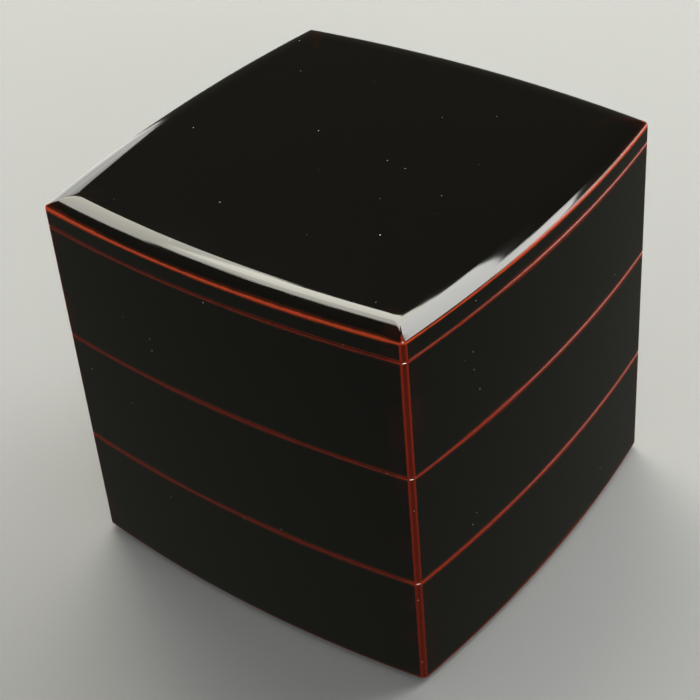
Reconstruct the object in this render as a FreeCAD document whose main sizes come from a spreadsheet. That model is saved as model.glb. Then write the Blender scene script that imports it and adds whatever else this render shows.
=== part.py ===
import FreeCAD, Part
import math
import os

import Sketcher

# Three-tier stacking lunch box of lacquered wood.  Every side bows outwards on the same large arc, the
# four corners carry a narrow flat, and each tier has a rim under it that drops into the mouth below.
# Millimetres, +Z up, origin at the centre of the surface that the lowest rim stands on.

DRIVING_DIMENSIONS = {
    "corner_half": 91.0,  # centre line to the point where two sides would meet
    "side_bow": 6.5,  # how far the middle of a side stands out past its corners
    "corner_flat": 1.2,  # length that the corner flat takes off each side
    "wall_thickness": 6.0,
    "tier_height": 56.3,
    "floor_thickness": 4.0,
    "floor_rabbet": 2.5,  # how far the floor board runs into the walls
    "glue_gap": 0.05,
    "rim_width": 5.0,
    "rim_drop": 3.0,  # how far a rim reaches below the walls
    "rim_clearance": 0.4,  # play between a rim and the mouth it drops into
    "edge_bevel": 0.6,  # eased edges of walls, skirts and rims
    "tongue_width": 5.0,  # a loose tongue's size across its mitre
    "tongue_thickness": 1.5,
    "tongue_margin": 7.0,  # wood left above and below a tongue
    "tongue_setback": 3.0,  # pointed corner to the middle of the tongue, along X and along Y
    "lid_skirt_height": 8.7,  # seam to the outer arris of the lid
    "lid_edge_thickness": 2.5,  # upright edge of the lid board, the upper part of the skirt height
    "lid_shoulder_width": 12.5,
    "lid_shoulder_rise": 3.6,
}

TIERS = ["bottom_tier", "middle_tier", "top_tier"]
SIDES = ["front", "right", "back", "left"]  # each a quarter turn on from the one before
QUARTER_TURN = 90
CUT_MARGIN = 1.0  # how far a cutting profile runs outside the wood

# Expressions over the sheet, for the sizes that follow from the driving dimensions.
BOW_RADIUS = "((sizes.corner_half ^ 2 + sizes.side_bow ^ 2) / (2 * sizes.side_bow))"
MIDDLE_HALF = "(sizes.corner_half + sizes.side_bow)"
ARC_CENTRE = f"({BOW_RADIUS} - {MIDDLE_HALF})"
INNER_RADIUS = f"({BOW_RADIUS} - sizes.wall_thickness)"
RABBET_RADIUS = f"({INNER_RADIUS} + sizes.floor_rabbet)"
FLOOR_RADIUS = f"({RABBET_RADIUS} - sizes.glue_gap)"
RIM_RADIUS = f"({INNER_RADIUS} - sizes.rim_clearance)"
RIM_INNER_RADIUS = f"({RIM_RADIUS} - sizes.rim_width)"
SKIRT_INNER_RADIUS = f"({RIM_RADIUS} + sizes.glue_gap)"
FLAT_MIDDLE = "(sizes.corner_half - sizes.corner_flat / 2)"
TONGUE_HEIGHT = "(sizes.tier_height - 2 * sizes.tongue_margin)"
SKIRT_BOARD_HEIGHT = "(sizes.lid_skirt_height - sizes.lid_edge_thickness)"
LID_TOP = "(sizes.lid_edge_thickness + sizes.lid_shoulder_rise)"
SHOULDER_RADIUS = (
    "((sizes.lid_shoulder_width ^ 2 + sizes.lid_shoulder_rise ^ 2) / (2 * sizes.lid_shoulder_rise))"
)
LID_SEAM_LEVEL = f"(sizes.rim_drop + {len(TIERS)} * sizes.tier_height)"

# How Sketcher names the points of a line or an arc, and its fixed origin and axes.
START, END, CENTRE = 1, 2, 3
ORIGIN = (-1, 1)
X_AXIS, Y_AXIS = -1, -2

document = FreeCAD.newDocument("stacking_lunch_box")


def make_sheet():
    """The spreadsheet of driving dimensions: a name beside each aliased number."""
    sheet = document.addObject("Spreadsheet::Sheet", "sizes")
    for row, (alias, size) in enumerate(DRIVING_DIMENSIONS.items(), start=1):
        sheet.set(f"A{row}", alias)
        sheet.set(f"B{row}", str(size))
        sheet.setAlias(f"B{row}", alias)
    document.recompute()
    return sheet


sizes = make_sheet()


def value_of(expression):
    """The present value of an expression over the sheet."""
    return float(sizes.evalExpression(expression))


def new_body(label, level, side_index=0):
    """A body whose height is an expression, turned to its side of the box."""
    body = document.addObject("PartDesign::Body", label)
    body.Label = label
    body.Placement.Rotation = FreeCAD.Rotation(side_index * QUARTER_TURN, 0, 0)
    body.setExpression("Placement.Base.z", level)
    return body


def origin_feature(body, role):
    """One of the body's own origin planes or axes."""
    return next(feature for feature in body.Origin.OriginFeatures if feature.Role == role)


def new_sketch(body, name, plane="XY_Plane"):
    """A sketch on one of the body's origin planes."""
    sketch = body.newObject("Sketcher::SketchObject", f"{body.Name}_{name}")
    sketch.AttachmentSupport = [(origin_feature(body, plane), "")]
    sketch.MapMode = "FlatFace"
    return sketch


def bind(sketch, kind, *where, to):
    """Add a dimension that starts at the value of an expression and stays bound to it."""
    index = sketch.addConstraint(Sketcher.Constraint(kind, *where, value_of(to)))
    name = f"{kind}_{index}"
    sketch.renameConstraint(index, name)
    sketch.setExpression(f"Constraints.{name}", to)


def relate(sketch, kind, *where):
    """Add a relation that has no size of its own."""
    sketch.addConstraint(Sketcher.Constraint(kind, *where))


def place(sketch, geometry, which, x=None, y=None):
    """Bind a point's distances from the origin; it stays on the side of the origin where it is drawn."""
    spot = sketch.getPoint(geometry, which)
    for kind, expression, drawn in (("DistanceX", x, spot.x), ("DistanceY", y, spot.y)):
        if expression is None:
            continue
        ends = (*ORIGIN, geometry, which) if drawn > 0 else (geometry, which, *ORIGIN)
        bind(sketch, kind, *ends, to=expression)


def add_line(sketch, first, last):
    return sketch.addGeometry(Part.LineSegment(FreeCAD.Vector(*first, 0), FreeCAD.Vector(*last, 0)))


def mitre_half_width(radius):
    """Half the length of a side's arc between the two diagonals of the box."""
    centre = value_of(ARC_CENTRE)
    return (math.sqrt(2 * radius**2 - centre**2) - centre) / 2


def add_side_arc(sketch, radius, half_width, side_index=0):
    """One side's arc, bound to its radius and to the far centre that all arcs of that side share."""
    size = value_of(radius)
    turn = math.radians(side_index * QUARTER_TURN)
    outward = FreeCAD.Vector(round(math.sin(turn)), -round(math.cos(turn)), 0)
    circle = Part.Circle(outward * -value_of(ARC_CENTRE), FreeCAD.Vector(0, 0, 1), size)
    middle = math.radians(270) + turn
    spread = math.asin(half_width / size)
    arc = sketch.addGeometry(Part.ArcOfCircle(circle, middle - spread, middle + spread))
    bind(sketch, "Radius", arc, to=radius)
    if outward.x == 0:
        relate(sketch, "PointOnObject", arc, CENTRE, Y_AXIS)
        place(sketch, arc, CENTRE, y=ARC_CENTRE)
    else:
        relate(sketch, "PointOnObject", arc, CENTRE, X_AXIS)
        place(sketch, arc, CENTRE, x=ARC_CENTRE)
    return arc


def board_sketch(body, outer_radius, inner_radius, corner_flat=False):
    """Plan of the front side's curved board, mitred on the diagonals of the box.

    With a corner flat, each end of the outer arc meets half of the flat, square to the mitre.
    """
    sketch = new_sketch(body, "plan")
    outer_half = mitre_half_width(value_of(outer_radius))
    inner_half = mitre_half_width(value_of(inner_radius))
    corner_half = value_of(FLAT_MIDDLE) if corner_flat else outer_half
    arc_half = 2 * corner_half - outer_half
    outer_arc = add_side_arc(sketch, outer_radius, arc_half)
    inner_arc = add_side_arc(sketch, inner_radius, inner_half)
    for sign, arc_end in ((1, END), (-1, START)):
        mitre = add_line(sketch, (sign * corner_half, -corner_half), (sign * inner_half, -inner_half))
        relate(sketch, "Angle", mitre, math.radians(90 + sign * 45))
        relate(sketch, "Coincident", mitre, END, inner_arc, arc_end)
        if corner_flat:
            place(sketch, mitre, START, x=FLAT_MIDDLE, y=FLAT_MIDDLE)
            arc_point = sketch.getPoint(outer_arc, arc_end)
            flat = add_line(sketch, (arc_point.x, arc_point.y), (sign * corner_half, -corner_half))
            relate(sketch, "Coincident", flat, START, outer_arc, arc_end)
            relate(sketch, "Coincident", flat, END, mitre, START)
            relate(sketch, "Perpendicular", flat, mitre)
        else:
            relate(sketch, "Coincident", mitre, START, outer_arc, arc_end)
            relate(sketch, "PointOnObject", *ORIGIN, mitre)
    return sketch


def outline_sketch(body, radius, corner_flat=False):
    """Plan of the whole bowed square: four arcs, with or without flats across its corners."""
    sketch = new_sketch(body, "plan")
    half = mitre_half_width(value_of(radius))
    if corner_flat:
        half = 2 * value_of(FLAT_MIDDLE) - half
    arcs = [add_side_arc(sketch, radius, half, index) for index in range(len(SIDES))]
    for index, arc in enumerate(arcs):
        following = arcs[(index + 1) % len(arcs)]
        if not corner_flat:
            relate(sketch, "Coincident", arc, END, following, START)
            continue
        first = sketch.getPoint(arc, END)
        last = sketch.getPoint(following, START)
        flat = add_line(sketch, (first.x, first.y), (last.x, last.y))
        relate(sketch, "Coincident", flat, START, arc, END)
        relate(sketch, "Coincident", flat, END, following, START)
        relate(sketch, "Angle", flat, math.radians(index * QUARTER_TURN + 45))
        bind(sketch, "Distance", *ORIGIN, flat, to=f"sqrt(2) * {FLAT_MIDDLE}")
    return sketch


def rabbet_sketch(body):
    """The wedge from the middle of the box out to the rabbet's arc, between the two diagonals."""
    sketch = new_sketch(body, "rabbet")
    half = mitre_half_width(value_of(RABBET_RADIUS))
    arc = add_side_arc(sketch, RABBET_RADIUS, half)
    for sign, arc_end in ((1, END), (-1, START)):
        diagonal = add_line(sketch, (0, 0), (sign * half, -half))
        relate(sketch, "Coincident", diagonal, START, *ORIGIN)
        relate(sketch, "Coincident", diagonal, END, arc, arc_end)
        relate(sketch, "Angle", diagonal, math.radians(-90 + sign * 45))
    return sketch


def tongue_sketch(body, corners):
    """Plan of the loose tongues at some corners: slim rectangles that lie square across the mitres."""
    sketch = new_sketch(body, "tongues")
    sketch.setExpression("AttachmentOffset.Base.z", "sizes.tongue_margin")
    middle = "sizes.corner_half - sizes.tongue_setback"
    along = "sizes.tongue_width / sqrt(8)"
    across = "sizes.tongue_thickness / sqrt(8)"
    plan = [
        (f"{middle} - {along} + {across}", f"{middle} + {along} + {across}"),
        (f"{middle} + {along} + {across}", f"{middle} - {along} + {across}"),
        (f"{middle} + {along} - {across}", f"{middle} - {along} - {across}"),
        (f"{middle} - {along} - {across}", f"{middle} + {along} - {across}"),
    ]
    for x_sign, y_sign in corners:
        spots = [(x_sign * value_of(x), y_sign * value_of(y)) for x, y in plan]
        edges = [add_line(sketch, spots[i - 1], spots[i]) for i in range(len(plan))]
        for index, (x, y) in enumerate(plan):
            relate(sketch, "Coincident", edges[index - 1], END, edges[index], START)
            place(sketch, edges[index], END, x=x, y=y)
    return sketch


def shoulder_sketch(body):
    """Section of what the front shoulder takes off the lid board, and the axis that it turns about.

    The shoulder is an arc that starts at the arris and runs out level at the top of the lid.
    """
    sketch = new_sketch(body, "shoulder", plane="YZ_Plane")
    arris = -value_of(MIDDLE_HALF)
    base = value_of("sizes.lid_edge_thickness")
    top = value_of(LID_TOP)
    inner = arris + value_of("sizes.lid_shoulder_width")
    radius = value_of(SHOULDER_RADIUS)
    circle = Part.Circle(FreeCAD.Vector(inner, top - radius, 0), FreeCAD.Vector(0, 0, 1), radius)
    spread = math.asin((inner - arris) / radius)
    arc = sketch.addGeometry(Part.ArcOfCircle(circle, math.radians(90), math.radians(90) + spread))
    over = add_line(sketch, (inner, top), (inner, top + CUT_MARGIN))
    back = add_line(sketch, (inner, top + CUT_MARGIN), (arris - CUT_MARGIN, top + CUT_MARGIN))
    down = add_line(sketch, (arris - CUT_MARGIN, top + CUT_MARGIN), (arris - CUT_MARGIN, base))
    under = add_line(sketch, (arris - CUT_MARGIN, base), (arris, base))
    loop = [over, back, down, under]
    for line, following in zip(loop, loop[1:]):
        relate(sketch, "Coincident", line, END, following, START)
    relate(sketch, "Coincident", arc, START, over, START)
    relate(sketch, "Coincident", under, END, arc, END)
    relate(sketch, "Vertical", over)
    relate(sketch, "Horizontal", back)
    relate(sketch, "Vertical", down)
    relate(sketch, "Horizontal", under)
    relate(sketch, "Vertical", arc, CENTRE, arc, START)
    bind(sketch, "Radius", arc, to=SHOULDER_RADIUS)
    place(sketch, arc, END, x=MIDDLE_HALF, y="sizes.lid_edge_thickness")
    place(sketch, arc, START, y=LID_TOP)
    relate(sketch, "DistanceY", over, START, over, END, CUT_MARGIN)
    relate(sketch, "DistanceX", under, START, under, END, CUT_MARGIN)
    axis = add_line(sketch, (value_of(ARC_CENTRE), 0), (value_of(ARC_CENTRE), top))
    sketch.toggleConstruction(axis)
    relate(sketch, "Vertical", axis)
    relate(sketch, "PointOnObject", axis, START, X_AXIS)
    place(sketch, axis, START, x=ARC_CENTRE)
    place(sketch, axis, END, y=LID_TOP)
    return sketch


def pad(body, sketch, height):
    """Raise a sketch by a height given as an expression."""
    feature = body.newObject("PartDesign::Pad", f"{sketch.Name}_pad")
    feature.Profile = sketch
    feature.setExpression("Length", height)
    document.recompute()
    return feature


def check_cut(feature, volume_before):
    """A cut that points away from the wood removes nothing and shows no error, so measure it."""
    if feature.Shape.Volume > volume_before - 1:
        raise RuntimeError(f"{feature.Name} cut nothing")


def pocket_upwards(body, sketch, depth):
    """Cut upwards from a sketch by a depth given as an expression."""
    volume_before = body.Shape.Volume
    feature = body.newObject("PartDesign::Pocket", f"{sketch.Name}_pocket")
    feature.Profile = sketch
    feature.setExpression("Length", depth)
    feature.Reversed = True
    document.recompute()
    check_cut(feature, volume_before)
    return feature


def ease_edges(body, feature, arcs, flats_at=()):
    """Bevel the level edges that lie on arcs of the given (radius, height), and the corner flats' own."""

    def eased(edge):
        low, high = edge.BoundBox.ZMin, edge.BoundBox.ZMax
        if high - low > 1e-6:
            return False
        if isinstance(edge.Curve, Part.Circle):
            return any(
                abs(edge.Curve.Radius - radius) < 1e-6 and abs(low - height) < 1e-6
                for radius, height in arcs
            )
        middle = edge.CenterOfMass
        on_flat = abs(abs(middle.x) + abs(middle.y) - 2 * value_of(FLAT_MIDDLE)) < 1e-6
        return on_flat and any(abs(low - height) < 1e-6 for height in flats_at)

    names = [f"Edge{i}" for i, edge in enumerate(feature.Shape.Edges, start=1) if eased(edge)]
    bevel = body.newObject("PartDesign::Chamfer", f"{body.Name}_eased_edges")
    bevel.Base = (feature, names)
    bevel.setExpression("Size", "sizes.edge_bevel")
    document.recompute()
    check_cut(bevel, feature.Shape.Volume)


def tier_wall(tier, level, side_index):
    """A wall board: mitred ends, a rabbet for the floor board and a slot for half of each tongue."""
    body = new_body(f"{tier}_{SIDES[side_index]}_wall", level, side_index)
    pad(body, board_sketch(body, BOW_RADIUS, INNER_RADIUS, corner_flat=True), "sizes.tier_height")
    pocket_upwards(body, rabbet_sketch(body), "sizes.floor_thickness")
    slots = pocket_upwards(body, tongue_sketch(body, [(1, -1), (-1, -1)]), TONGUE_HEIGHT)
    top = value_of("sizes.tier_height")
    outer, inner = value_of(BOW_RADIUS), value_of(INNER_RADIUS)
    ease_edges(body, slots, [(outer, 0), (outer, top), (inner, top)], flats_at=[0, top])
    return body


def tier_floor(tier, level):
    """The floor board, which fills the rabbets of the four walls."""
    body = new_body(f"{tier}_floor", level)
    pad(body, outline_sketch(body, FLOOR_RADIUS), "sizes.floor_thickness")
    return body


def rim_strip(label, level, side_index, height):
    """One mitred strip of the rim that drops into the mouth below."""
    body = new_body(label, level, side_index)
    strip = pad(body, board_sketch(body, RIM_RADIUS, RIM_INNER_RADIUS), height)
    ease_edges(body, strip, [(value_of(RIM_RADIUS), 0)])
    return body


def corner_tongues(tier, level):
    """The four loose tongues inside a tier's mitres, as separate solids in one body."""
    body = new_body(f"{tier}_corner_tongues", level)
    body.AllowCompound = True
    pad(body, tongue_sketch(body, [(1, -1), (1, 1), (-1, 1), (-1, -1)]), TONGUE_HEIGHT)
    return body


def lid_skirt_board(side_index):
    """A low board that hangs from the lid board, flush with the wall below it."""
    body = new_body(f"lid_{SIDES[side_index]}_skirt", LID_SEAM_LEVEL, side_index)
    plan = board_sketch(body, BOW_RADIUS, SKIRT_INNER_RADIUS, corner_flat=True)
    board = pad(body, plan, SKIRT_BOARD_HEIGHT)
    ease_edges(body, board, [(value_of(BOW_RADIUS), 0)], flats_at=[0])
    return body


def lid_board():
    """The top of the lid: a bowed square whose four shoulders fall to a common arris."""
    body = new_body("lid_board", f"{LID_SEAM_LEVEL} + {SKIRT_BOARD_HEIGHT}")
    blank = pad(body, outline_sketch(body, BOW_RADIUS, corner_flat=True), LID_TOP)
    shoulder = body.newObject("PartDesign::Groove", "lid_board_front_shoulder")
    section = shoulder_sketch(body)
    shoulder.Profile = section
    shoulder.ReferenceAxis = (section, ["Axis0"])
    shoulder.Angle = 360
    document.recompute()
    check_cut(shoulder, blank.Shape.Volume)
    shoulders = body.newObject("PartDesign::PolarPattern", "lid_board_shoulders")
    shoulders.Originals = [shoulder]
    shoulders.Axis = (origin_feature(body, "Z_Axis"), [""])
    shoulders.Angle = 360
    shoulders.Occurrences = len(SIDES)
    body.Tip = shoulders
    document.recompute()
    check_cut(shoulders, shoulder.Shape.Volume)
    return body


def build():
    """Every sub-part, tier by tier and then the lid."""
    parts = []
    for index, tier in enumerate(TIERS):
        wall_level = f"sizes.rim_drop + {index} * sizes.tier_height"
        rim_level = f"{index} * sizes.tier_height"
        parts += [tier_wall(tier, wall_level, side) for side in range(len(SIDES))]
        parts.append(tier_floor(tier, wall_level))
        for side, name in enumerate(SIDES):
            parts.append(rim_strip(f"{tier}_{name}_rim", rim_level, side, "sizes.rim_drop"))
        parts.append(corner_tongues(tier, wall_level))
    parts += [lid_skirt_board(side) for side in range(len(SIDES))]
    rim_height = f"sizes.rim_drop + {SKIRT_BOARD_HEIGHT}"
    for side, name in enumerate(SIDES):
        parts.append(rim_strip(f"lid_{name}_rim", f"{LID_SEAM_LEVEL} - sizes.rim_drop", side, rim_height))
    parts.append(lid_board())
    return parts


def check(parts):
    """Stop before anything is written if an object failed or a shape isn't sound."""
    for thing in document.Objects:
        if "Invalid" in thing.State or "Error" in thing.State:
            raise RuntimeError(f"{thing.Name} failed: {thing.State}")
    for body in parts:
        if body.Shape.isNull() or not body.Shape.isValid():
            raise RuntimeError(f"{body.Label} has no sound shape")


def write(parts):
    os.makedirs("parts", exist_ok=True)
    for body in parts:
        body.Shape.exportStep(f"parts/{body.Label}.step")


sub_parts = build()
document.recompute()
check(sub_parts)
write(sub_parts)
for body in sub_parts:
    box = body.Shape.BoundBox
    print(
        f"{body.Label}: {len(body.Shape.Solids)} solid(s), {body.Shape.Volume:.0f} mm3, "
        f"z {box.ZMin:.2f} to {box.ZMax:.2f}, x {box.XMin:.2f} to {box.XMax:.2f}"
    )
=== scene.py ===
import math

import bmesh
import bpy
from mathutils import Matrix, Vector


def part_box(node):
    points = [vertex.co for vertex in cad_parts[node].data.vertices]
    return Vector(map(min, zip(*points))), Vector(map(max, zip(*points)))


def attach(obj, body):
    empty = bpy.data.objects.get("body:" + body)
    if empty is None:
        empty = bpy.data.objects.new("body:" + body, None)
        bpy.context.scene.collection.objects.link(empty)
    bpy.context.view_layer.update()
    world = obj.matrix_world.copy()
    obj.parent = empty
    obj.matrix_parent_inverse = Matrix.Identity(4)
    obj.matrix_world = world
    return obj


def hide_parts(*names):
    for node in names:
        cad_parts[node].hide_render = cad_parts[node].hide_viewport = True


# Three-tier stacking lunch box in black lacquer over a red ground that shows wherever an edge is rubbed.
# Every board is swept round its side of the bowed square from a section with eased edges.
# Lengths are millimetres until a mesh is written, which is in metres.

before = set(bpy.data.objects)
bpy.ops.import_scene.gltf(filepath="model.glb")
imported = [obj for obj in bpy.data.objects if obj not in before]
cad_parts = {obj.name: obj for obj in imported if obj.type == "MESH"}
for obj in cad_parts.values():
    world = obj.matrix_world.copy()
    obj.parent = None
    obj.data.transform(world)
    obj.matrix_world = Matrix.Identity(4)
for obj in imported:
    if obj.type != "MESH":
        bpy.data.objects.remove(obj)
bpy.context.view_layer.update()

MM = 0.001
TIERS = ["bottom_tier", "middle_tier", "top_tier"]
SIDES = ["front", "right", "back", "left"]  # each a quarter turn on from the one before
MITRE = math.radians(45)  # from the middle of a side to its corner, seen from the axis

CORNER_FLAT = 1.2  # length that the corner flat takes off each side
WALL = 6.0
FLOOR = 4.0
FLOOR_RABBET = 2.5
RIM_PLAY = 0.4  # between a rim and the mouth it drops into
RIM = 5.0
GLUE_GAP = 0.05
LID_EDGE = 2.5  # upright edge of the lid board
SHOULDER = 12.5  # width of the lid's shoulder
COVE = 1.2  # lacquer fillet between a floor and the walls
HAIRLINE = 0.04  # a wall stops this far short of what stands on it

EASED = 0.6  # radius of an eased edge
WALL_TOP = 0.95  # radius of a wall's upper outer edge, which handling rounds most
ARRIS = 1.7  # radius of the lid's outer arris
RUB_SHARE = 0.35  # how far round a wall's edge, from its outer face, the lacquer is rubbed deepest
ARRIS_RUB_SHARE = 0.4  # the same on the lid's arris
FLAT_LEAN = 0.5  # how fast the lid's corner flat draws in as its edge rounds over
RIDGE_START = 2.0  # beyond this inset the rubbed ridge at a corner of the lid fades ...
RIDGE_FADE = 0.35  # ... at this rate
CORNER_ROUNDING = 0.3  # how soon two faces blend at an outer corner
INNER_ROUNDING = 2.0  # the same in an inner corner, and on the rim that drops into it
RIDGE_SOFTENING = 0.02  # how fast the rounding grows along the lid's mitre ridge, with the inset ...
RIDGE_SOFTENING_POWER = 2.2  # ... to this power ...
RIDGE_SOFTEST = 6.0  # ... up to this

# Distances from a corner's mitre, across it, at which a sweep has sections: close by the corner flat.
CORNER_STATIONS = [
    0, 0.4, 0.7, 0.85, 0.95, 1.03, 1.1, 1.17, 1.25, 1.35, 1.5, 1.75, 2.1, 2.6, 3.4, 4.6, 6.5, 9.5, 13.5
]
STATION_STEP = 3.0  # degrees between sections elsewhere
EDGE_STEPS = 6  # facets of an eased edge or a cove
ARRIS_STEPS = 8
SHOULDER_STEPS = 28
SUPPORTS = (0.3, 1.0, 2.5, 5.0)  # distances from an edge at which a section has extra points
ARRIS_SUPPORT = 0.5  # distance below the lid's arris at which its upright edge has an extra ring
LID_TOP_RINGS = (13.0, 15.0, 20.0, 30.0, 45.0, 65.0)  # insets of the rings on the lid's level top
FLOOR_TOP_RINGS = (8.0, 12.0, 30.0, 60.0)  # the same on a floor
INNER_RING = 60.0  # inset of the innermost ring under a board
NO_RUB = 99.0  # distance from a rub, where there is none
SHARP_ANGLE = math.radians(38)  # two faces that meet at more than this aren't smoothed together


def box_mm(node):
    low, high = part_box(node)
    return low / MM, high / MM


wall_low, wall_high = box_mm("bottom_tier_front_wall")
MIDDLE_HALF = -wall_low.y
FLAT_MIDDLE = wall_high.x
CORNER_HALF = FLAT_MIDDLE + CORNER_FLAT / 2
BOW = MIDDLE_HALF - CORNER_HALF
BOW_RADIUS = (CORNER_HALF**2 + BOW**2) / (2 * BOW)
ARC_CENTRE = BOW_RADIUS - MIDDLE_HALF
CORNER_RADIUS = math.sqrt(2) * FLAT_MIDDLE


# Plan of the bowed square, in polar form about the axis of the box.


def side_radius(angle, inset):
    """Distance from the axis to a side's arc, at an angle from the middle of that side."""
    across = ARC_CENTRE * math.sin(angle)
    return math.sqrt((BOW_RADIUS - inset) ** 2 - across**2) - ARC_CENTRE * math.cos(angle)


def smooth_min(first, second, rounding):
    overlap = max(rounding - abs(first - second), 0) / rounding
    return min(first, second) - overlap**2 * rounding / 4


def plan_radius(angle, inset, flat_inset, rounding):
    """Distance from the axis to the outline: this side's arc, the next side's, or the corner flat."""
    own = side_radius(angle, inset)
    following = side_radius(2 * MITRE - abs(angle), inset)
    flat = (CORNER_RADIUS - flat_inset) / math.cos(MITRE - abs(angle))
    return smooth_min(smooth_min(own, following, rounding), flat, rounding)


def corner_gap(angle, inset, flat_inset):
    """Distance from the nearer edge of the corner flat, negative on the flat."""
    across = side_radius(angle, inset) * math.sin(MITRE - abs(angle))
    standing_out = max(side_radius(MITRE, inset) - (CORNER_RADIUS - flat_inset), 0)
    tilt = MITRE - math.asin(CORNER_HALF / BOW_RADIUS)
    return across - standing_out / math.tan(tilt)


def stations():
    """Angles of a side's sections, from one mitre to the other."""
    near = [MITRE - math.asin(gap / CORNER_RADIUS) for gap in CORNER_STATIONS]
    steps = round(near[-1] / math.radians(STATION_STEP))
    half = near + [near[-1] * (1 - step / steps) for step in range(1, steps)]
    return [-angle for angle in half] + [0.0] + half[::-1]


STATIONS = stations()


# Sections of the boards: closed loops of (inset from the outer face, height).


def rounded_section(corners):
    """Points round a section, with each corner rounded and extra points near it.

    A corner is (inset, height, radius, rub, zone of the face that follows), where rub is how far round the
    edge it is rubbed deepest, or None.  Each point comes back as (inset, height, distance from the nearest
    rub, zone).
    """
    count = len(corners)
    spots = [Vector(corner[:2]) for corner in corners]
    points = []
    rubs = []
    for index, (_, _, radius, rub, zone) in enumerate(corners):
        here = spots[index]
        before = (spots[index - 1] - here).normalized()
        after = (spots[(index + 1) % count] - here).normalized()
        previous_zone = corners[index - 1][4]
        if radius:
            half = before.angle(after) / 2
            reach = radius / math.tan(half)
            centre = here + (before + after).normalized() * (radius / math.sin(half))
            start, end = here + before * reach, here + after * reach
            from_centre, to_centre = start - centre, end - centre
            arc = [
                centre + radius * from_centre.slerp(to_centre, step / EDGE_STEPS)
                for step in range(EDGE_STEPS + 1)
            ]
            if rub is not None:
                rubs.append(centre + radius * from_centre.slerp(to_centre, rub))
            room = (spots[index - 1] - here).length / 2
            for support in reversed([s for s in SUPPORTS if s + reach < room]):
                points.append((here + before * (reach + support), previous_zone))
            points += [(spot, previous_zone) for spot in arc[: EDGE_STEPS // 2]]
            points += [(spot, zone) for spot in arc[EDGE_STEPS // 2 :]]
            room = (spots[(index + 1) % count] - here).length / 2
            for support in [s for s in SUPPORTS if s + reach < room]:
                points.append((here + after * (reach + support), zone))
        else:
            points.append((here, zone))
    return [(spot.x, spot.y, min((spot - rub).length for rub in rubs), zone) for spot, zone in points]


OUTSIDE, INSIDE, UNDER = range(3)  # zones of a board, which are its material slots


def wall_section(bottom, top):
    rabbet = WALL - FLOOR_RABBET
    return rounded_section([
        (0, bottom, EASED, 1 - RUB_SHARE, OUTSIDE),
        (0, top - HAIRLINE, WALL_TOP, RUB_SHARE, OUTSIDE),
        (WALL, top - HAIRLINE, EASED, None, INSIDE),
        (WALL, bottom + FLOOR, 0, None, UNDER),
        (rabbet, bottom + FLOOR, 0, None, UNDER),
        (rabbet, bottom, 0, None, UNDER),
    ])


def skirt_section(bottom, top):
    inner = WALL + RIM_PLAY - GLUE_GAP
    return rounded_section([
        (0, bottom, EASED, 1 - RUB_SHARE, OUTSIDE),
        (0, top, 0, None, UNDER),
        (inner, top, 0, None, UNDER),
        (inner, bottom, 0, None, UNDER),
    ])


def rim_section(bottom, top, inner_zone):
    outer = WALL + RIM_PLAY
    return rounded_section([
        (outer, bottom, EASED, 0.5, OUTSIDE),
        (outer, top, 0, None, inner_zone),
        (outer + RIM, top, 0, None, inner_zone),
        (outer + RIM, bottom, EASED, None, OUTSIDE),
    ])


# Meshes.


def to_plan(side, angle, radius, height):
    """A point in metres, from polar coordinates about a side's outward direction."""
    turn = angle + side * math.pi / 2
    return Vector((radius * math.sin(turn), -radius * math.cos(turn), height)) * MM


def finish_piece(name, build, attributes, materials, body, nodes):
    """Turn a bmesh into a piece that rides on a body and stands for its CAD node."""
    bmesh.ops.recalc_face_normals(build, faces=build.faces)
    mesh = bpy.data.meshes.new(name)
    build.to_mesh(mesh)
    build.free()
    for label, values in attributes.items():
        mesh.attributes.new(label, "FLOAT", "POINT").data.foreach_set("value", values)
    for material in materials:
        mesh.materials.append(material)
    mesh.shade_smooth()
    mesh.set_sharp_from_angle(angle=SHARP_ANGLE)
    piece = bpy.data.objects.new(name, mesh)
    bpy.context.scene.collection.objects.link(piece)
    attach(piece, body)
    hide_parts(*nodes)


def swept_board(node, side, section, rounding, materials, body):
    """A side's board: its section swept from mitre to mitre, with both ends closed."""
    build = bmesh.new()
    attributes = {"edge_gap": [], "corner_gap": []}
    rows = []
    for angle in STATIONS:
        row = []
        for inset, height, edge_gap, _ in section:
            radius = plan_radius(angle, inset, inset, rounding)
            row.append(build.verts.new(to_plan(side, angle, radius, height)))
            attributes["edge_gap"].append(edge_gap)
            attributes["corner_gap"].append(corner_gap(angle, inset, inset))
        rows.append(row)
    for first, second in zip(rows, rows[1:]):
        for index in range(len(section)):
            following = (index + 1) % len(section)
            face = build.faces.new((first[index], first[following], second[following], second[index]))
            face.material_index = section[index][3]
    for row in (rows[0], rows[-1]):
        build.faces.new(row).material_index = UNDER
    finish_piece(f"{node}_lacquered", build, attributes, materials, body, [node])


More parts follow.
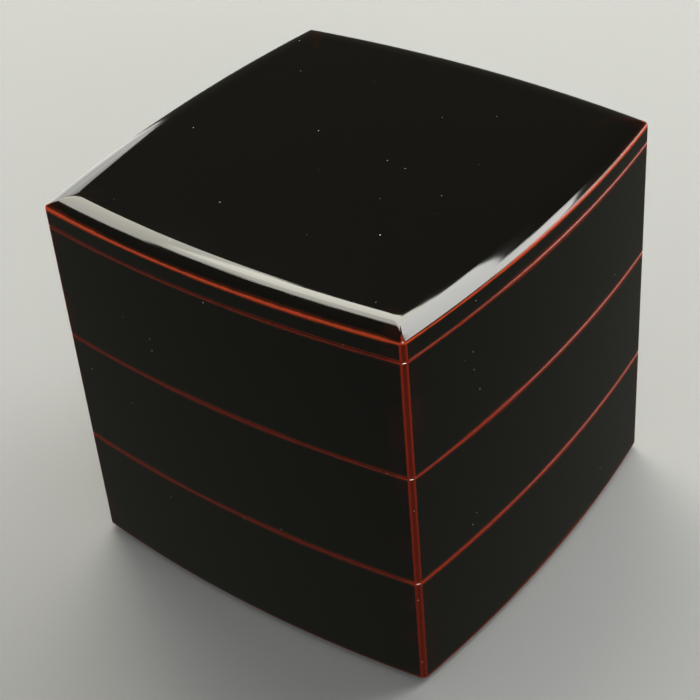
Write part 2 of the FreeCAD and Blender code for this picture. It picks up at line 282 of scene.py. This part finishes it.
def ringed_board(node, rings, rounding, materials, body):
    """A board that spans all four sides, built from rings out from one centre and in to the other.

    A ring is (inset, height, distance from the worn edge, zone of the faces that follow).
    """
    build = bmesh.new()
    attributes = {"edge_gap": [], "corner_gap": []}

    def add_vertex(spot, edge_gap, gap):
        attributes["edge_gap"].append(edge_gap)
        attributes["corner_gap"].append(gap)
        return build.verts.new(spot)

    loops = []
    for inset, height, edge_gap, _ in rings:
        loop = []
        for side in range(len(SIDES)):
            for angle in STATIONS[:-1]:
                flat_inset = FLAT_LEAN * inset
                radius = plan_radius(angle, inset, flat_inset, rounding(inset))
                gap = corner_gap(angle, inset, flat_inset) + RIDGE_FADE * max(inset - RIDGE_START, 0)
                loop.append(add_vertex(to_plan(side, angle, radius, height), edge_gap, gap))
        loops.append(loop)
    count = len(loops[0])
    for (first, second), ring in zip(zip(loops, loops[1:]), rings):
        for index in range(count):
            following = (index + 1) % count
            face = build.faces.new((first[index], first[following], second[following], second[index]))
            face.material_index = ring[3]
    for loop, ring, zone in ((loops[0], rings[0], UNDER), (loops[-1], rings[-1], rings[-1][3])):
        centre = add_vertex(Vector((0, 0, ring[1])) * MM, NO_RUB, NO_RUB)
        for index in range(count):
            face = build.faces.new((loop[index], loop[(index + 1) % count], centre))
            face.material_index = zone
    finish_piece(f"{node}_lacquered", build, attributes, materials, body, [node])


def lid_rings(bottom, arris, top):
    """Rings of the lid board: underside, upright edge, rounded arris, shoulder and level top."""
    rise = top - arris
    radius = (SHOULDER**2 + rise**2) / (2 * rise)
    centre = Vector((SHOULDER, top - radius))
    start = math.asin(SHOULDER / radius)
    # The arris is a small arc between the upright edge and the shoulder's arc.
    turn = math.radians(90) - start
    reach = ARRIS * math.tan(turn / 2)
    arris_centre = Vector((ARRIS, arris - reach))

    def on_arris(share):
        return arris_centre + ARRIS * Vector((-math.cos(turn * share), math.sin(turn * share)))

    rub = on_arris(ARRIS_RUB_SHARE)
    rings = [
        (INNER_RING, bottom, NO_RUB, INSIDE),
        (WALL + RIM_PLAY + RIM, bottom, NO_RUB, INSIDE),
        (0.0, bottom, arris - bottom, OUTSIDE),
        (0.0, arris - reach - ARRIS_SUPPORT, reach + ARRIS_SUPPORT, OUTSIDE),
    ]
    for step in range(ARRIS_STEPS + 1):
        spot = on_arris(step / ARRIS_STEPS)
        rings.append((spot.x, spot.y, (spot - rub).length, OUTSIDE))
    joined = rings[-1][0]
    for step in range(1, SHOULDER_STEPS + 1):
        inset = joined + (SHOULDER - joined) * step / SHOULDER_STEPS
        height = centre.y + math.sqrt(radius**2 - (SHOULDER - inset) ** 2)
        rings.append((inset, height, (Vector((inset, height)) - rub).length, OUTSIDE))
    for inset in LID_TOP_RINGS:
        rings.append((inset, top, inset, OUTSIDE))
    return rings


def floor_rings(bottom):
    """Rings of a floor board, whose upper face turns up in a small cove along the walls."""
    top = bottom + FLOOR
    edge = WALL - FLOOR_RABBET + GLUE_GAP
    cove_start = WALL - 0.1  # just inside the wall, so that the cove comes out of its face
    rings = [
        (INNER_RING, bottom, NO_RUB, UNDER),
        (edge, bottom, NO_RUB, UNDER),
        (edge, top - GLUE_GAP, NO_RUB, UNDER),
        (cove_start, top - GLUE_GAP, NO_RUB, UNDER),
    ]
    for step in range(EDGE_STEPS + 1):
        angle = math.radians(90) * step / EDGE_STEPS
        inset = cove_start + COVE * (1 - math.cos(angle))
        height = top + COVE * (1 - math.sin(angle))
        rings.append((inset, height, NO_RUB, INSIDE))
    for inset in FLOOR_TOP_RINGS:
        rings.append((inset, top, NO_RUB, INSIDE))
    return rings


# Materials.


class Graph:
    """A short way to write a shader's nodes: each call adds one node and returns its output."""

    def __init__(self, holder):
        holder.use_nodes = True
        self.holder = holder
        self.tree = holder.node_tree

    def add(self, kind, inputs, output=0, **settings):
        node = self.tree.nodes.new(kind)
        for key, value in settings.items():
            setattr(node, key, value)
        for key, value in inputs.items():
            self.feed(node.inputs[key], value)
        return node.outputs[output]

    def feed(self, socket, value):
        if isinstance(value, bpy.types.NodeSocket):
            self.tree.links.new(value, socket)
        else:
            socket.default_value = value

    def maths(self, operation, first, second=0.0):
        return self.add("ShaderNodeMath", {0: first, 1: second}, operation=operation)

    def attribute(self, name, output="Fac"):
        return self.add("ShaderNodeAttribute", {}, output, attribute_name=name)

    def millimetres(self):
        """The point's place in the piece's own frame, in millimetres."""
        spot = self.add("ShaderNodeTexCoord", {}, "Object")
        return self.scaled(spot, (1 / MM, 1 / MM, 1 / MM))

    def split(self, vector):
        """The three coordinates of a vector."""
        node = self.tree.nodes.new("ShaderNodeSeparateXYZ")
        self.feed(node.inputs[0], vector)
        return node.outputs[:]

    def brushed(self, place, along, across):
        """Noise drawn out along the boards, which fades on the level middle of the lid and the floors."""
        x, y, z = self.split(place)
        long = self.maths("MAXIMUM", self.maths("ABSOLUTE", x), self.maths("ABSOLUTE", y))
        short = self.maths("MINIMUM", self.maths("ABSOLUTE", x), self.maths("ABSOLUTE", y))
        arm = self.add("ShaderNodeCombineXYZ", {0: short, 1: self.maths("ADD", long, ARC_CENTRE)})
        reach = self.add("ShaderNodeVectorMath", {0: arm}, "Value", operation="LENGTH")
        inset = self.maths("SUBTRACT", BOW_RADIUS, reach)
        length = self.maths("MULTIPLY", self.maths("ADD", x, self.maths("MULTIPLY", y, 1.4)), along)
        depth = self.maths("MULTIPLY", inset, across)
        height = self.maths("MULTIPLY", z, across)
        spot = self.add("ShaderNodeCombineXYZ", {0: length, 1: depth, 2: height})
        fading = self.between(inset, SHOULDER - 3, SHOULDER + 3, 1.0, 0.0)
        return self.maths("MULTIPLY", self.noise(spot, 1.0, 3.0, 0.6), fading)

    def scaled(self, vector, scale):
        return self.add("ShaderNodeVectorMath", {0: vector, 1: scale}, operation="MULTIPLY")

    def noise(self, vector, scale, detail=2.0, roughness=0.5):
        inputs = {"Vector": vector, "Scale": scale, "Detail": detail, "Roughness": roughness}
        return self.add("ShaderNodeTexNoise", inputs, "Fac")

    def between(self, value, low, high, at_low=0.0, at_high=1.0):
        """A smooth step from one value to another as the input goes from low to high."""
        inputs = {"Value": value, "From Min": low, "From Max": high, "To Min": at_low, "To Max": at_high}
        return self.add("ShaderNodeMapRange", inputs, interpolation_type="SMOOTHSTEP")

    def mixed(self, share, first, second):
        inputs = {"Factor": share, "A": first, "B": second}
        node = self.tree.nodes.new("ShaderNodeMix")
        node.data_type = "RGBA"
        sockets = [socket for socket in node.inputs if socket.enabled]
        for socket, key in zip(sockets, inputs):
            self.feed(socket, inputs[key])
        return next(socket for socket in node.outputs if socket.enabled)

    def specks(self, vector, size, share):
        """Grains of dust: 1 in a few small spots, about one in a cell of the given size."""
        inputs = {"Vector": vector, "Scale": 1 / size}
        near = self.add("ShaderNodeTexVoronoi", inputs, "Distance")
        cell = self.add("ShaderNodeTexVoronoi", inputs, "Color")
        parts = self.add("ShaderNodeSeparateColor", {"Color": cell}, "Red")
        chosen = self.maths("LESS_THAN", parts, share)
        return self.maths("MULTIPLY", chosen, self.between(near, 0.03, 0.08, 1.0, 0.0))

    def upper_side(self):
        """1 on the side that a face's normal points to, 0 behind it."""
        return self.maths("SUBTRACT", 1.0, self.add("ShaderNodeNewGeometry", {}, "Backfacing"))

    def bump(self, height, strength, distance, normal=None):
        inputs = {"Height": height, "Strength": strength, "Distance": distance}
        if normal is not None:
            inputs["Normal"] = normal
        return self.add("ShaderNodeBump", inputs)

    def finish(self, **inputs):
        shader = self.tree.nodes["Principled BSDF"]
        for key, value in inputs.items():
            self.feed(shader.inputs[key.replace("_", " ")], value)
        return self.holder


def colour(red, green, blue, share=1.0):
    return (share * red, share * green, share * blue, 1.0)


BLACK = colour(0.0036, 0.0031, 0.0023)
UNDERGLOW = colour(0.028, 0.004, 0.0015)  # the red ground seen through thin black
RED_BLACK = colour(0.060, 0.010, 0.004)  # the same where the black is thinner still, beside a rub
MAROON = colour(0.12, 0.008, 0.002)  # the corner flat itself
FLAT_LINE = colour(0.30, 0.020, 0.005)  # along both edges of a corner flat
MOTTLE_DEPTH = 0.62  # the darkest of the mottled ground, as a share of the lightest
DUST_GREY = colour(0.42, 0.42, 0.40)
LACQUER_IOR = 1.52
LACQUER_SHINE = 0.5  # specular level where it is sound


def black_lacquer(name, ground, rub_width, roughness, strokes):
    """Black lacquer over a red ground, rubbed through along the edges and thin on the corner flats."""
    graph = Graph(bpy.data.materials.new(name))
    place = graph.millimetres()
    waver = graph.maths("SUBTRACT", graph.noise(place, 0.22, 4.0, 0.6), 0.5)
    edge = graph.maths("ADD", graph.attribute("edge_gap"), graph.maths("MULTIPLY", waver, 0.6))
    corner = graph.maths("ADD", graph.attribute("corner_gap"), graph.maths("MULTIPLY", waver, 0.3))

    # The rub is wider in some stretches than in others and fades into thin black.  Towards the back right
    # corner it is wider, and on the front and left it is slight on the tiers: this is painted light and
    # shade, the back and right edges painted as lit and the front and left ones as shaded.  On the lid it
    # is wide on the front.  The lid starts at height 172 and its own board at 178.
    x, y, height = graph.split(place)
    diagonal = graph.maths("ADD", x, y)
    # Painted light: the rub widens towards the back right corner, as if that side were lit.
    painted_light_back_right = graph.between(diagonal, 10.0, 140.0)
    front_left = graph.between(diagonal, -12.0, 0.0, 1.0, 0.0)
    on_lid = graph.between(height, 176.0, 180.0)
    front_of_lid = graph.maths("MULTIPLY", front_left, on_lid)
    width = graph.between(graph.noise(place, 0.016, 2.0), 0.35, 0.65, rub_width * 0.8, rub_width * 1.3)
    width = graph.maths("MULTIPLY", width, graph.between(height, 90.0, 172.0, 1.15, 1.0))
    width = graph.maths("MULTIPLY", width, graph.maths("ADD", painted_light_back_right, 1.0))
    width = graph.maths("MULTIPLY", width, graph.between(front_of_lid, 0.0, 1.0, 1.0, 1.7))
    depth = graph.maths("DIVIDE", edge, width)
    worn = graph.between(depth, 0.55, 1.35, 1.0, 0.0)
    # Painted shade: rubs on the front and left of the tiers are kept faint, as if that side were in shade.
    strength = graph.maths("MAXIMUM", graph.between(front_left, 0.0, 1.0, 1.0, 0.35), on_lid)
    rubbed = graph.maths("MULTIPLY", worn, strength)
    spread = graph.between(height, 100.0, 172.0, 3.6, 3.2)
    thin = graph.between(depth, 1.0, spread, 0.9, 0.0)
    on_flat = graph.between(corner, -0.4, 0.05, 1.0, 0.0)
    flat_line = graph.between(graph.maths("ABSOLUTE", corner), 0.15, 0.65, 1.0, 0.0)
    line_strength = graph.between(height, 30.0, 165.0, 0.6, 0.95)
    chips = graph.between(graph.noise(place, 1.3, 2.0), 0.62, 0.70, 0.0, 0.5)
    near_corner = graph.between(graph.attribute("corner_gap"), 0.0, 9.0, 0.6, 0.0)
    patchy = graph.between(graph.noise(place, 0.06, 3.0), 0.35, 0.7)

    mottle = graph.noise(place, 0.6, 3.0, 0.7)
    worn_ground = graph.mixed(mottle, colour(*ground[:3], MOTTLE_DEPTH), ground)
    shade = graph.mixed(graph.maths("MULTIPLY", near_corner, patchy), BLACK, UNDERGLOW)
    shade = graph.mixed(thin, shade, RED_BLACK)
    shade = graph.mixed(on_flat, shade, MAROON)
    shade = graph.mixed(graph.maths("MULTIPLY", on_flat, chips), shade, worn_ground)
    shade = graph.mixed(graph.maths("MULTIPLY", flat_line, line_strength), shade, FLAT_LINE)
    shade = graph.mixed(rubbed, shade, worn_ground)
    dust = graph.specks(place, 5.0, 0.12)
    shade = graph.mixed(graph.maths("MULTIPLY", dust, 0.9), shade, DUST_GREY)

    smear = graph.between(graph.noise(place, 0.035, 3.0), 0.3, 0.7, roughness, roughness * 1.35)
    dulled = graph.between(height, 100.0, 176.0, 0.22, 0.05)  # the lower edges are the dullest
    rough = graph.maths("ADD", smear, graph.maths("MULTIPLY", rubbed, dulled))
    rough = graph.maths("ADD", rough, graph.maths("MULTIPLY", dust, 0.4))
    worn_dull = graph.maths("MULTIPLY", worn, graph.between(painted_light_back_right, 0.0, 1.0, 0.3, 0.0))
    shine = graph.maths("SUBTRACT", LACQUER_SHINE, worn_dull)
    normal = graph.bump(graph.brushed(place, 0.012, 1.6), strokes, 0.00004)
    normal = graph.bump(graph.noise(place, 0.045, 1.0), 0.08, 0.0006, normal)
    return graph.finish(
        Base_Color=shade, Roughness=rough, IOR=LACQUER_IOR, Specular_IOR_Level=shine, Normal=normal
    )


def red_lacquer(name):
    """Satin vermilion lacquer with faint brush marks, as inside the tiers and the lid."""
    graph = Graph(bpy.data.materials.new(name))
    place = graph.millimetres()
    cloud = graph.noise(place, 0.03, 4.0, 0.6)
    shade = graph.mixed(cloud, colour(0.30, 0.020, 0.008), colour(0.43, 0.036, 0.013))
    dust = graph.specks(place, 6.0, 0.2)
    shade = graph.mixed(graph.maths("MULTIPLY", dust, 0.3), shade, colour(0.16, 0.02, 0.01))
    rough = graph.between(graph.noise(place, 0.05, 3.0), 0.3, 0.7, 0.28, 0.35)
    normal = graph.bump(graph.brushed(place, 0.02, 1.2), 0.3, 0.00006)
    return graph.finish(Base_Color=shade, Roughness=rough, IOR=LACQUER_IOR, Normal=normal)


def bare_wood(name):
    """Pale straight-grained wood."""
    graph = Graph(bpy.data.materials.new(name))
    place = graph.millimetres()
    fibres = graph.noise(graph.scaled(place, (1.6, 1.6, 0.05)), 1.0, 5.0, 0.65)
    rings = graph.noise(graph.scaled(place, (0.35, 0.35, 0.01)), 1.0, 2.0)
    shade = graph.mixed(fibres, colour(0.50, 0.33, 0.17), colour(0.68, 0.49, 0.29))
    shade = graph.mixed(graph.between(rings, 0.45, 0.6, 0.0, 0.4), shade, colour(0.40, 0.24, 0.11))
    normal = graph.bump(fibres, 0.4, 0.0001)
    return graph.finish(Base_Color=shade, Roughness=0.62, Normal=normal)


WALL_GROUND = colour(0.38, 0.028, 0.007)
LID_GROUND = colour(0.66, 0.070, 0.016)

wall_black = black_lacquer("wall_black_lacquer", WALL_GROUND, 0.42, 0.05, 0.25)
lid_black = black_lacquer("lid_black_lacquer", LID_GROUND, 0.40, 0.05, 0.25)
rim_black = black_lacquer("rim_black_lacquer", WALL_GROUND, 0.35, 0.16, 0.8)
under_black = black_lacquer("underside_black_lacquer", WALL_GROUND, 0.3, 0.28, 1.0)
inner_red = red_lacquer("inner_red_lacquer")
tongue_wood = bare_wood("tongue_bare_wood")


# The pieces.


def levels_of(node):
    low, high = box_mm(node)
    return low.z, high.z


for tier in TIERS:
    for side, side_name in enumerate(SIDES):
        wall = f"{tier}_{side_name}_wall"
        swept_board(
            wall, side, wall_section(*levels_of(wall)), CORNER_ROUNDING,
            [wall_black, inner_red, under_black], tier,
        )
    floor = f"{tier}_floor"
    ringed_board(
        floor, floor_rings(levels_of(floor)[0]), lambda inset: INNER_ROUNDING,
        [under_black, inner_red, under_black], tier,
    )
    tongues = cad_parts[f"{tier}_corner_tongues"]
    for material_slot in tongues.material_slots:
        material_slot.material = tongue_wood

for body in [*TIERS, "lid"]:
    for side, side_name in enumerate(SIDES):
        rim = f"{body}_{side_name}_rim"
        inner_zone = INSIDE if body == "lid" else UNDER
        swept_board(
            rim, side, rim_section(*levels_of(rim), inner_zone), INNER_ROUNDING,
            [rim_black, inner_red, under_black], body,
        )

for side, side_name in enumerate(SIDES):
    skirt = f"lid_{side_name}_skirt"
    swept_board(
        skirt, side, skirt_section(*levels_of(skirt)), CORNER_ROUNDING,
        [wall_black, inner_red, under_black], "lid",
    )

lid_bottom = levels_of("lid_front_skirt")[1]
lid_top = levels_of("lid_board")[1]


def lid_rounding(inset):
    """The mitre ridge is crisp at the arris and softens towards the level top."""
    return min(CORNER_ROUNDING + RIDGE_SOFTENING * inset**RIDGE_SOFTENING_POWER, RIDGE_SOFTEST)


ringed_board(
    "lid_board", lid_rings(lid_bottom, lid_bottom + LID_EDGE, lid_top), lid_rounding,
    [lid_black, inner_red, inner_red], "lid",
)


# The stage: a pale floor that the lacquer doesn't mirror, and soft light.


PALE_ROOM = colour(0.62, 0.63, 0.62)  # what the camera sees past the floor
FILL = colour(0.50, 0.50, 0.50)
DIM_ROOM = colour(0.045, 0.045, 0.036)  # what the polished faces mirror, above the horizon
DIM_TABLE = colour(0.095, 0.098, 0.082)  # and below it
HORIZON_GLOW = colour(3.4, 3.4, 3.2)
GLOW_AZIMUTH = math.radians(60)
COOL_TINT = (1.0, 0.995, 0.955)
WARM_TINT = (1.0, 0.97, 0.85)
PANEL_HEIGHT = 3.2  # metres, as are all the stage's lengths
FLOOR_RADIUS = 14.0


def make_floor(radius):
    """A round floor that is seen from above only, so that it doesn't hide the underside of the box."""
    graph = Graph(bpy.data.materials.new("stage_floor"))
    tone = graph.noise(graph.millimetres(), 0.004, 2.0)
    shade = graph.mixed(tone, colour(0.335, 0.34, 0.335), colour(0.355, 0.36, 0.355))
    build = bmesh.new()
    bmesh.ops.create_circle(build, cap_ends=True, segments=96, radius=radius)
    mesh = bpy.data.meshes.new("stage_floor")
    build.to_mesh(mesh)
    build.free()
    mesh.materials.append(graph.finish(Base_Color=shade, Roughness=0.9, Alpha=graph.upper_side()))
    ground = bpy.data.objects.new("stage_floor", mesh)
    bpy.context.scene.collection.objects.link(ground)
    ground.visible_glossy = False


def make_world():
    """A pale room for the eye, a soft fill, and a dim room with a low glow for the lacquer to mirror."""
    world = bpy.data.worlds.new("studio")
    bpy.context.scene.world = world
    graph = Graph(world)
    # The direction looked in: z is the sine of its elevation.
    x, y, z = graph.split(graph.add("ShaderNodeTexCoord", {}, "Generated"))
    level = graph.maths("MULTIPLY", graph.between(z, -0.04, 0.12), graph.between(z, 0.34, 0.46, 1.0, 0.0))
    one = graph.maths("MULTIPLY", x, math.sin(GLOW_AZIMUTH))
    other = graph.maths("MULTIPLY", y, math.cos(GLOW_AZIMUTH))
    aside = graph.maths("ABSOLUTE", graph.maths("SUBTRACT", one, other))
    right = graph.between(aside, 0.15, 0.38, 1.0, 0.12)
    right = graph.maths("MULTIPLY", right, graph.between(x, 0.0, 0.2))
    front = graph.between(y, -0.7, -0.3, 0.32, 0.0)
    glow = graph.maths("MULTIPLY", level, graph.maths("MAXIMUM", right, front))
    mirrored = graph.mixed(graph.between(z, -0.3, 0.0), DIM_TABLE, DIM_ROOM)
    mirrored = graph.mixed(glow, mirrored, HORIZON_GLOW)
    shade = graph.mixed(graph.add("ShaderNodeLightPath", {}, "Is Glossy Ray"), FILL, mirrored)
    shade = graph.mixed(graph.add("ShaderNodeLightPath", {}, "Is Camera Ray"), shade, PALE_ROOM)
    graph.feed(graph.tree.nodes["Background"].inputs["Color"], shade)


def make_panel(name, centre, facing, width, height, radiance, tint=COOL_TINT):
    """A soft panel light; its power follows from its size and how bright its face looks."""
    light = bpy.data.lights.new(name, "AREA")
    light.shape = "RECTANGLE"
    light.size = width
    light.size_y = height
    light.energy = radiance * width * height * math.pi
    light.color = tint
    panel = bpy.data.objects.new(name, light)
    bpy.context.scene.collection.objects.link(panel)
    turned = Vector(facing).to_track_quat("-Z", "Y").to_matrix()
    panel.matrix_world = Matrix.Translation(centre) @ turned.to_4x4()
    panel.visible_camera = False
    return panel


def ceiling_panel(name, west, east, south, north, radiance, tint):
    """A panel under the ceiling, between four edges given as shares of its height."""
    centre = ((west + east) / 2 * PANEL_HEIGHT, (south + north) / 2 * PANEL_HEIGHT, PANEL_HEIGHT)
    width, depth = (east - west) * PANEL_HEIGHT, (north - south) * PANEL_HEIGHT
    make_panel(name, centre, (0, 0, -1), width, depth, radiance, tint)


make_floor(FLOOR_RADIUS)
make_world()
ceiling_panel("far_left_panel", -1.70, -0.82, 0.17, 0.86, 5.8, WARM_TINT)
ceiling_panel("near_left_panel", -0.82, -0.18, 0.24, 0.40, 7.0, WARM_TINT)
ceiling_panel("left_panel", -0.82, -0.18, 0.40, 0.77, 10.0, WARM_TINT)
ceiling_panel("back_panel", -0.18, 0.2, 0.55, 0.84, 10.0, COOL_TINT)
ceiling_panel("right_panel", 0.2, 0.8, 0.6, 1.12, 10.0, COOL_TINT)
ceiling_panel("far_right_panel", 0.45, 1.3, 1.12, 1.7, 6.0, COOL_TINT)
make_panel("low_west_panel", (-5.01, 2.57, -0.35), (0.88, -0.46, 0), 1.84, 2.8, 1.7)
make_panel("high_west_panel", (-5.0, 2.6, 2.12), (0.88, -0.46, 0), 1.87, 2.15, 2.4)
glint = make_panel("corner_glint", (4.1, -3.1, 2.3), (-4.0, 3.0, -2.1), 1.0, 1.0, 240.0)
glint.visible_diffuse = False


# The camera.

CAMERA_PLACE = (0.38008, -0.47078, 0.54164)
CAMERA_AZIMUTH = math.radians(39.58)
CAMERA_ELEVATION = math.radians(37.14)
CAMERA_ROLL = math.radians(-5.07)
CAMERA_LENS = 85.96


def make_camera():
    data = bpy.data.cameras.new("camera")
    data.sensor_width = 36
    data.lens = CAMERA_LENS
    camera = bpy.data.objects.new("camera", data)
    bpy.context.scene.collection.objects.link(camera)
    level = math.cos(CAMERA_ELEVATION)
    back = Vector((
        math.sin(CAMERA_AZIMUTH) * level,
        -math.cos(CAMERA_AZIMUTH) * level,
        math.sin(CAMERA_ELEVATION),
    ))
    right = Vector((0, 0, 1)).cross(back).normalized()
    axes = Matrix((right, back.cross(right), back)).transposed()
    turned = axes @ Matrix.Rotation(CAMERA_ROLL, 3, "Z")
    camera.matrix_world = Matrix.Translation(CAMERA_PLACE) @ turned.to_4x4()
    bpy.context.scene.camera = camera


make_camera()
bpy.context.scene.view_settings.view_transform = "Standard"
